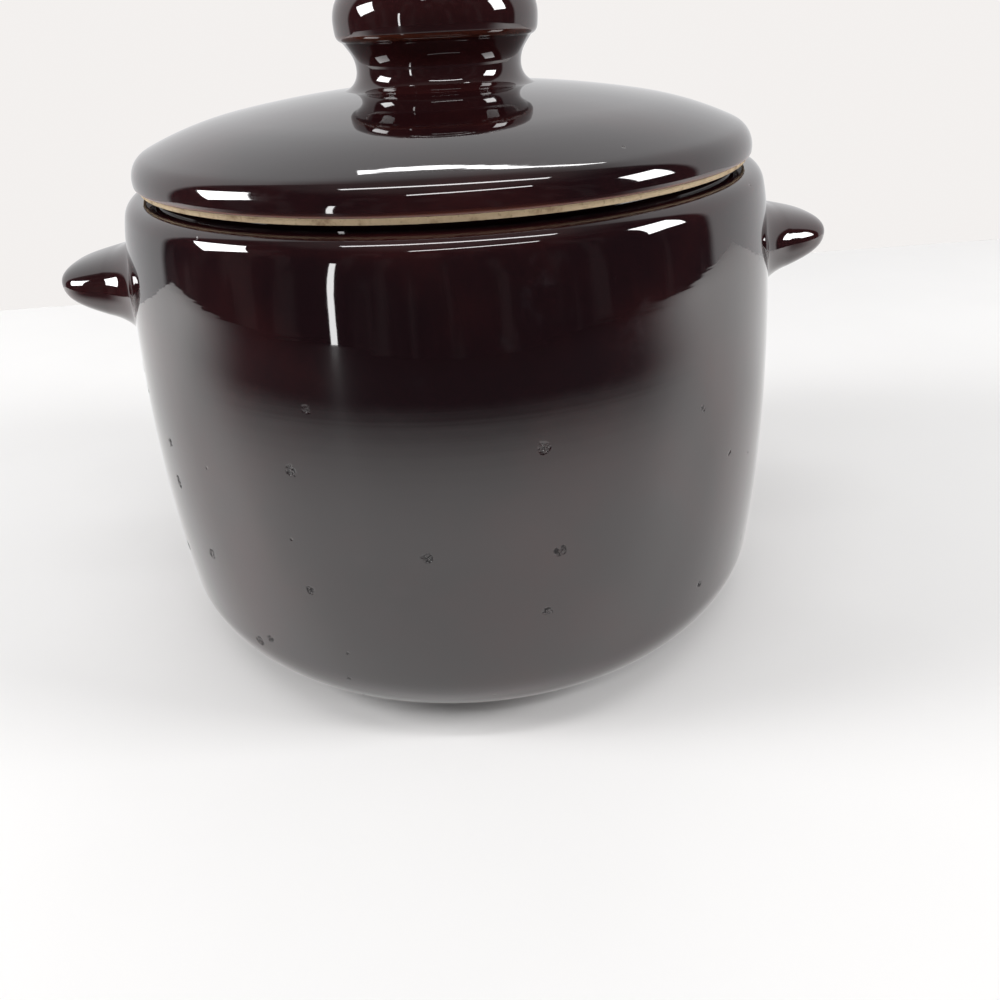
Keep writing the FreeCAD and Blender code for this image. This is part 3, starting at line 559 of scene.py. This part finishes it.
def make_glaze(name, finish, smudges, warmth=0.0):
    """Deep red-brown glaze over tan clay. The glaze is warmer in slow clouds, amber where it runs
    thin over an edge, pricked with pinholes and, low on the wall, spotted with small dark marks.
    The bare clay shows by the mesh's own mask, with a ragged line where the glaze was wiped back.
    Smudges is how worn the glaze is, and warmth how much more of it has the warmer tone."""
    material = bpy.data.materials.new(name)
    material.use_nodes = True
    n = Nodes(material.node_tree)
    place = n.make("ShaderNodeTexCoord").outputs["Object"]
    thin = n.attribute("thin")
    bare = n.attribute("bare")

    clouds = n.noise(place, 26.0, detail=5.0, roughness=0.55)
    grain = n.noise(place, 420.0, detail=3.0, roughness=0.6)
    fine = n.noise(place, 1500.0, detail=2.0)
    rub = n.noise(place, 55.0, detail=6.0, roughness=0.7)

    warm = n.ramp(n.math("ADD", clouds, n.times(thin, 0.35)), 0.42 - warmth, 0.78 - warmth)
    body = n.mix(warm, full(finish.deep), full(finish.warm))
    cloudy_edge = n.math("ADD", thin, n.times(n.math("SUBTRACT", clouds, 0.5), 0.9))
    broken = n.ramp(cloudy_edge, 0.45, 1.05)
    body = n.mix(n.times(broken, 0.85), body, full(finish.broken))

    pit_distance, pit_chance, _ = n.spots(place, 210.0)
    pit = n.times(n.ramp(pit_distance, 0.11, 0.03), n.math("GREATER_THAN", pit_chance, 0.955))
    body = n.mix(n.times(pit, 0.5), body, full(finish.pit))
    body = n.mix(n.times(n.ramp(grain, 0.66, 0.74), 0.35), body, full(finish.speck))
    smear = n.times(n.ramp(rub, 0.60, 0.72), smudges)
    body = n.mix(n.times(smear, 0.10), body, full(finish.smear))
    body = n.mix(n.times(n.ramp(bare, 0.02, 0.45), 0.9), body, full(finish.broken))

    stains = n.ramp(n.noise(place, 190.0, detail=6.0, roughness=0.7), 0.46, 0.70)
    clay = n.mix(stains, full(finish.clay), full(finish.stained_clay))
    clay = n.mix(n.times(n.ramp(fine, 0.62, 0.72), 0.4), clay, full(finish.clay_speck))
    ragged = n.math("ADD", bare, n.times(n.math("SUBTRACT", grain, 0.5), 0.55))
    clay_mask = n.ramp(ragged, 0.42, 0.58)
    tone = n.mix(clay_mask, body, clay)

    wander = n.make("ShaderNodeTexNoise", {"Vector": place, "Scale": 240.0, "Detail": 2.0})
    astray = n.mix(0.0028, place, wander.outputs["Color"], blend_type="ADD")
    mark_distance, mark_chance, mark_size = n.spots(astray, 105.0)
    near_mark = n.ramp(n.math("SUBTRACT", mark_distance, n.times(mark_size, 0.17)), 0.02, -0.03)
    chosen = n.math("GREATER_THAN", mark_chance, 0.25)
    height = n.make("ShaderNodeSeparateXYZ", {"Vector": place}).outputs["Z"]
    low_down = n.times(n.ramp(height, 0.098, 0.070), smudges)
    mark = n.times(near_mark, chosen, low_down, n.ramp(fine, 0.36, 0.60))
    tone = n.mix(n.times(mark, 0.8), tone, full(finish.mark))

    gloss = n.math("ADD", n.times(n.ramp(rub, 0.5, 0.75), 0.05 + 0.05 * smudges), 0.03)
    gloss = n.math("ADD", gloss, n.math("MAXIMUM", n.times(pit, 0.25), n.times(mark, 0.85)))
    gloss = n.math("ADD", gloss, n.times(broken, 0.10))
    roughness = n.math("ADD", gloss, n.times(clay_mask, 0.78), clamp=True)

    ring_place = n.times(n.attribute("along"), 420.0)
    rings = n.make("ShaderNodeTexNoise", {"W": ring_place, "Scale": 1.0, "Detail": 3.0},
                   noise_dimensions="1D").outputs["Fac"]
    normal = n.bump(rings, finish.ring_depth)
    normal = n.bump(n.noise(place, 95.0, detail=2.5), finish.peel_depth, normal)
    normal = n.bump(n.noise(place, 28.0, detail=1.0), finish.sway_depth, normal)
    normal = n.bump(n.times(pit, -1.0), finish.pit_depth, normal)
    normal = n.bump(n.times(mark, grain, -1.0), finish.mark_depth, normal)
    normal = n.bump(n.times(n.math("ADD", grain, fine), clay_mask), finish.clay_depth, normal)
    shader = n.make("ShaderNodeBsdfPrincipled", {"Base Color": tone, "Roughness": roughness,
                                                 "IOR": finish.refraction, "Normal": normal})
    n.make("ShaderNodeOutputMaterial", {"Surface": shader.outputs[0]})
    return material


def front_share(n, place, none, whole):
    """How far a point or direction lies towards the front, by the value of y + 0.15 x of its unit
    vector: 0 at the first limit and 1 at the second."""
    unit = n.make("ShaderNodeVectorMath", {"Vector": place}, operation="NORMALIZE").outputs["Vector"]
    parts = n.make("ShaderNodeSeparateXYZ", {"Vector": unit})
    past = n.math("ADD", parts.outputs["Y"], n.times(parts.outputs["X"], 0.15))
    return n.ramp(past, none, whole)


def make_floor_material(studio):
    """Plain pale floor. To mirror rays it has a painted glow, an emission that makes it shine a little,
    and a painted shade that fades it to dark in front of the pot.
    """
    material = bpy.data.materials.new("pale_table")
    material.use_nodes = True
    n = Nodes(material.node_tree)
    place = n.make("ShaderNodeTexCoord").outputs["Object"]
    mirrored = n.make("ShaderNodeLightPath").outputs["Is Glossy Ray"]
    mottle = n.noise(place, 14.0, detail=4.0)
    pale = n.mix(n.times(n.ramp(mottle, 0.3, 0.8), 0.5), full(studio.floor),
                 full([channel * 0.97 for channel in studio.floor]))
    away = n.make("ShaderNodeVectorMath", {"Vector": place}, operation="LENGTH").outputs["Value"]
    # Painted shade: for mirror rays the floor darkens with distance and towards the front.
    dim = n.times(n.ramp(away, 0.18, 0.60), front_share(n, place, 0.10, -0.50))
    tone = n.mix(n.times(dim, mirrored), pale, full(studio.dim))
    # Painted glow: an emission that only mirror rays see, where the floor is not shaded dark.
    painted_glow = n.times(n.math("SUBTRACT", 1.0, dim), mirrored, studio.painted_floor_glow)
    shader = n.make("ShaderNodeBsdfPrincipled", {
        "Base Color": tone, "Roughness": 0.55, "Specular IOR Level": 0.2,
        "Emission Strength": painted_glow, "Emission Color": full(studio.floor)})
    n.make("ShaderNodeOutputMaterial", {"Surface": shader.outputs[0]})
    return material


def make_world(studio):
    """The camera sees the pale wall. Mirror rays see a pale wall behind the pot, dim shapes in
    front and a grey ceiling; all other rays get an even soft light."""
    world = bpy.data.worlds.new("studio")
    bpy.context.scene.world = world
    world.use_nodes = True
    n = Nodes(world.node_tree)
    rays = n.make("ShaderNodeLightPath")
    direction = n.make("ShaderNodeTexCoord").outputs["Generated"]
    parts = n.make("ShaderNodeSeparateXYZ", {"Vector": direction})
    overhead = n.ramp(parts.outputs["Z"], 0.72, 0.98)
    stretched = n.make("ShaderNodeMapping", {"Vector": direction, "Scale": (5.0, 5.0, 1.2)})
    shapes = n.ramp(n.noise(stretched.outputs["Vector"], 1.0, detail=3.0), 0.50, 0.62)
    front = n.mix(shapes, full(studio.front_dark), full(studio.front_light))
    mirrored = n.mix(front_share(n, direction, 0.28, 0.20), full(studio.mirrored_wall), front)
    mirrored = n.mix(overhead, mirrored, full(studio.ceiling))
    soft = (studio.soft_light, studio.soft_light, studio.soft_light, 1.0)
    seen = n.mix(rays.outputs["Is Glossy Ray"], soft, mirrored)
    tone = n.mix(rays.outputs["Is Camera Ray"], seen, full(studio.wall))
    sky = n.make("ShaderNodeBackground", {"Color": tone, "Strength": 1.0})
    n.make("ShaderNodeOutputWorld", {"Surface": sky.outputs[0]})


# Name, azimuth, elevation, distance (m), size (m), brightness, lean; angles in degrees.
LAMPS = (
    ("softbox_left", -84, 26, 1.25, (0.42, 0.42), 17.5, 40),
    ("softbox_right", 78, 24, 1.30, (0.37, 0.44), 17.5, 0),
    ("strip_overhead", 0, 80, 1.45, (1.30, 0.10), 11.0, 0),
    ("strip_front", 12, 52, 1.50, (0.95, 0.07), 11.0, 0),
    ("strip_behind", 172, 55, 1.50, (0.95, 0.05), 11.0, 0),
    ("strip_side", -37, 6, 1.60, (0.06, 0.66), 10.0, 0),
)


def add_lamp(name, turn, azimuth, elevation, distance, size, brightness, lean):
    """A flat lamp that faces the pot. Azimuth 0 is towards the camera and 90 to its right, and lean
    turns it in its own plane, in degrees. Its power is brightness * pi * area, so that it shows as
    that brightness in the glaze."""
    lamp = bpy.data.lights.new(name, "AREA")
    lamp.shape = "RECTANGLE"
    lamp.size, lamp.size_y = size
    lamp.energy = brightness * math.pi * size[0] * size[1]
    thing = bpy.data.objects.new(name, lamp)
    bpy.context.scene.collection.objects.link(thing)
    a, e = math.radians(azimuth) - turn, math.radians(elevation)
    away = Vector((math.sin(a) * math.cos(e), -math.cos(a) * math.cos(e), math.sin(e)))
    thing.location = away * distance + Vector((0, 0, 0.1))
    facing = away.to_track_quat("Z", "Y").to_matrix() @ Matrix.Rotation(math.radians(lean), 3, "Z")
    thing.rotation_euler = facing.to_euler()


# Operators.

class BEANPOT_OT_pot(bpy.types.Operator):
    """Throw the pot: its wall, foot ring, lip, gallery and inside"""
    bl_idname = "beanpot.pot"
    bl_label = "Pot"

    def execute(self, context):
        scene = context.scene
        s = scene.beanpot_pot
        profile = spread(soften(pot_profile(s), 0.7 * MM), 2.2 * MM, math.radians(9))
        r, z = profile[:, 0], profile[:, 1]
        steps = np.arange(len(profile))
        outside = steps < np.argmax(z)
        ledge = s.crest_height - s.gallery_depth
        on_foot = outside & (z < 1.9 * MM) & (r > s.foot_radius - s.foot_width - 1.5 * MM)
        foot = np.clip((2.6 * MM - z) / (1.4 * MM), 0, 1) * (outside & (r > s.foot_radius - 8.5 * MM))
        on_ledge = ~outside & (np.abs(z - ledge) < 0.9 * MM)
        attributes = {
            "along": travelled(profile),
            # Glaze breaks amber over the edges; inside the lip that amber is halved, a painted shade in
            # the gap under the lid.
            "thin": edge_share(profile, 1.6 * MM) * np.where(outside, 1.0, 0.5),
            "bare": np.maximum(foot, np.where(on_foot | on_ledge, 1.0, 0.0)),
        }
        mesh = turned("glazed_pot", profile, scene.beanpot_studio.segments, attributes, 0.12 * MM)
        piece = add_piece(mesh, "pot", ["pot_body"],
                          make_glaze("pot_glaze_finish", scene.beanpot_finish, 1.0))
        return {"FINISHED"}


class BEANPOT_OT_lugs(bpy.types.Operator):
    """Press the two lugs on to the wall, each with a soft spread root"""
    bl_idname = "beanpot.lugs"
    bl_label = "Lugs"

    def execute(self, context):
        scene = context.scene
        material = make_glaze("lug_glaze_finish", scene.beanpot_finish, 0.6, 0.12)
        for name, node, side in (("lug_right_glazed", "lug_right", 1),
                                 ("lug_left_glazed", "lug_left", -1)):
            rows, inside, end, thin = lug_rows(scene.beanpot_lug, scene.beanpot_pot, side)
            points, quads, triangles = grid_with_poles(rows, inside, end)
            along = points[:, 2] * 0.5
            thin = np.concatenate([thin.ravel(), [0.0, 1.0]])
            bare = np.zeros(len(points))
            attributes = {"along": along, "thin": thin, "bare": bare}
            mesh = make_mesh(name, points, quads, triangles, attributes)
            piece = add_piece(mesh, "pot", [node], material)
        return {"FINISHED"}


class BEANPOT_OT_lid(bpy.types.Operator):
    """Throw the lid: its dome, rolled edge, bare band and locating collar"""
    bl_idname = "beanpot.lid"
    bl_label = "Lid"

    def execute(self, context):
        scene = context.scene
        s = scene.beanpot_lid
        profile = spread(soften(lid_profile(s), 0.32 * MM), 2.0 * MM, math.radians(10))
        r, z = profile[:, 0], profile[:, 1]
        band_top = s.underside + s.band_height
        rim = r > s.radius - s.band_depth - 0.8 * MM
        band = rim * np.clip((band_top + 0.35 * MM - z) / (0.7 * MM), 0, 1)
        collar = (r > s.collar_radius - s.collar_width - 0.5 * MM) * np.clip(
            (s.underside - 3.0 * MM - z) / (1.0 * MM), 0, 1)
        wiped = rim * np.clip(1 - (z - band_top) / (2.0 * MM), 0, 1) * 0.9
        attributes = {
            "along": travelled(profile),
            "thin": np.maximum(edge_share(profile, 1.6 * MM), wiped),
            "bare": np.maximum(band, collar),
        }
        mesh = turned("glazed_lid", profile, scene.beanpot_studio.segments, attributes, 0.08 * MM)
        piece = add_piece(mesh, "lid", ["lid"],
                          make_glaze("lid_glaze_finish", scene.beanpot_finish, 0.35))
        return {"FINISHED"}


class BEANPOT_OT_knob(bpy.types.Operator):
    """Throw the knob: its soft root, waist, edge and round head"""
    bl_idname = "beanpot.knob"
    bl_label = "Knob"

    def execute(self, context):
        scene = context.scene
        profile = knob_profile(scene.beanpot_knob, scene.beanpot_lid)
        profile = spread(soften(profile, 0.5 * MM), 1.2 * MM, math.radians(6))
        lid = scene.beanpot_lid
        head = profile[:, 1] > lid.underside + lid.rise + scene.beanpot_knob.waist_rise
        attributes = {
            "along": travelled(profile),
            "thin": edge_share(profile, 2.4 * MM) * head * 0.72,
            "bare": np.zeros(len(profile)),
        }
        mesh = turned("glazed_knob", profile, 256, attributes)
        piece = add_piece(mesh, "lid", ["lid_knob"],
                          make_glaze("knob_glaze_finish", scene.beanpot_finish, 0.2, 0.2))
        return {"FINISHED"}


class BEANPOT_OT_studio(bpy.types.Operator):
    """Set up the pale floor, the soft lamps and the camera"""
    bl_idname = "beanpot.studio"
    bl_label = "Studio"

    def execute(self, context):
        scene = context.scene
        studio = scene.beanpot_studio
        x = np.linspace(-studio.table_reach, studio.table_reach, 27)
        y = np.linspace(-studio.table_reach, studio.table_back, 27)
        grid = np.stack(np.meshgrid(x, y, indexing="ij"), axis=-1).reshape(-1, 2)
        index = np.arange(len(grid)).reshape(27, 27)
        quads = np.stack([index[:-1, :-1], index[1:, :-1], index[1:, 1:], index[:-1, 1:]], axis=-1)
        points = np.concatenate([grid, np.zeros((len(grid), 1))], axis=1)
        mesh = make_mesh("table_top", points, quads.reshape(-1, 4), np.zeros((0, 3), int), {})
        floor = bpy.data.objects.new("table_top", mesh)
        scene.collection.objects.link(floor)
        mesh.materials.append(make_floor_material(studio))

        make_world(studio)
        for name, *values in LAMPS:
            add_lamp(name, studio.turn, *values)

        camera = bpy.data.cameras.new("camera")
        camera.lens, camera.sensor_width = studio.lens, 36.0
        camera.clip_start, camera.clip_end = 0.01, 20.0
        thing = bpy.data.objects.new("camera", camera)
        scene.collection.objects.link(thing)
        about = Matrix.Rotation(-studio.turn, 3, "Z")
        p, lean = studio.pitch, studio.roll
        forward = about @ Vector((0, math.cos(p), -math.sin(p)))
        right = about @ Vector((1, 0, 0))
        up = about @ Vector((0, math.sin(p), math.cos(p)))
        right_leaned = math.cos(lean) * right + math.sin(lean) * up
        up_leaned = math.cos(lean) * up - math.sin(lean) * right
        turned_to = Matrix((right_leaned, up_leaned, -forward)).transposed()
        place = about @ Vector((studio.camera_side, -studio.camera_distance, studio.camera_height))
        thing.matrix_world = Matrix.Translation(place) @ turned_to.to_4x4()
        scene.camera = thing
        scene.view_settings.view_transform = "Standard"
        return {"FINISHED"}


class BEANPOT_PT_panel(bpy.types.Panel):
    """Lists the pieces of the bean pot and its studio"""
    bl_idname = "BEANPOT_PT_panel"
    bl_label = "Bean Pot"
    bl_space_type = "VIEW_3D"
    bl_region_type = "UI"
    bl_category = "Bean Pot"

    def draw(self, context):
        for operator in OPERATORS:
            self.layout.operator(operator.bl_idname, text=operator.bl_label)


OPERATORS = (BEANPOT_OT_pot, BEANPOT_OT_lugs, BEANPOT_OT_lid, BEANPOT_OT_knob, BEANPOT_OT_studio)
GROUPS = {"beanpot_pot": PotSizes, "beanpot_lid": LidSizes, "beanpot_knob": KnobSizes,
          "beanpot_lug": LugSizes, "beanpot_finish": Finish, "beanpot_studio": Studio}


def register():
    for group in GROUPS.values():
        bpy.utils.register_class(group)
    for name, group in GROUPS.items():
        setattr(bpy.types.Scene, name, PointerProperty(type=group))
    for operator in OPERATORS:
        bpy.utils.register_class(operator)
    bpy.utils.register_class(BEANPOT_PT_panel)


def unregister():
    bpy.utils.unregister_class(BEANPOT_PT_panel)
    for operator in reversed(OPERATORS):
        bpy.utils.unregister_class(operator)
    for name, group in reversed(list(GROUPS.items())):
        delattr(bpy.types.Scene, name)
        bpy.utils.unregister_class(group)


def main():
    register()
    bpy.ops.beanpot.pot()
    bpy.ops.beanpot.lugs()
    bpy.ops.beanpot.lid()
    bpy.ops.beanpot.knob()
    bpy.ops.beanpot.studio()
    bpy.context.view_layer.update()


if __name__ == "__main__":
    main()
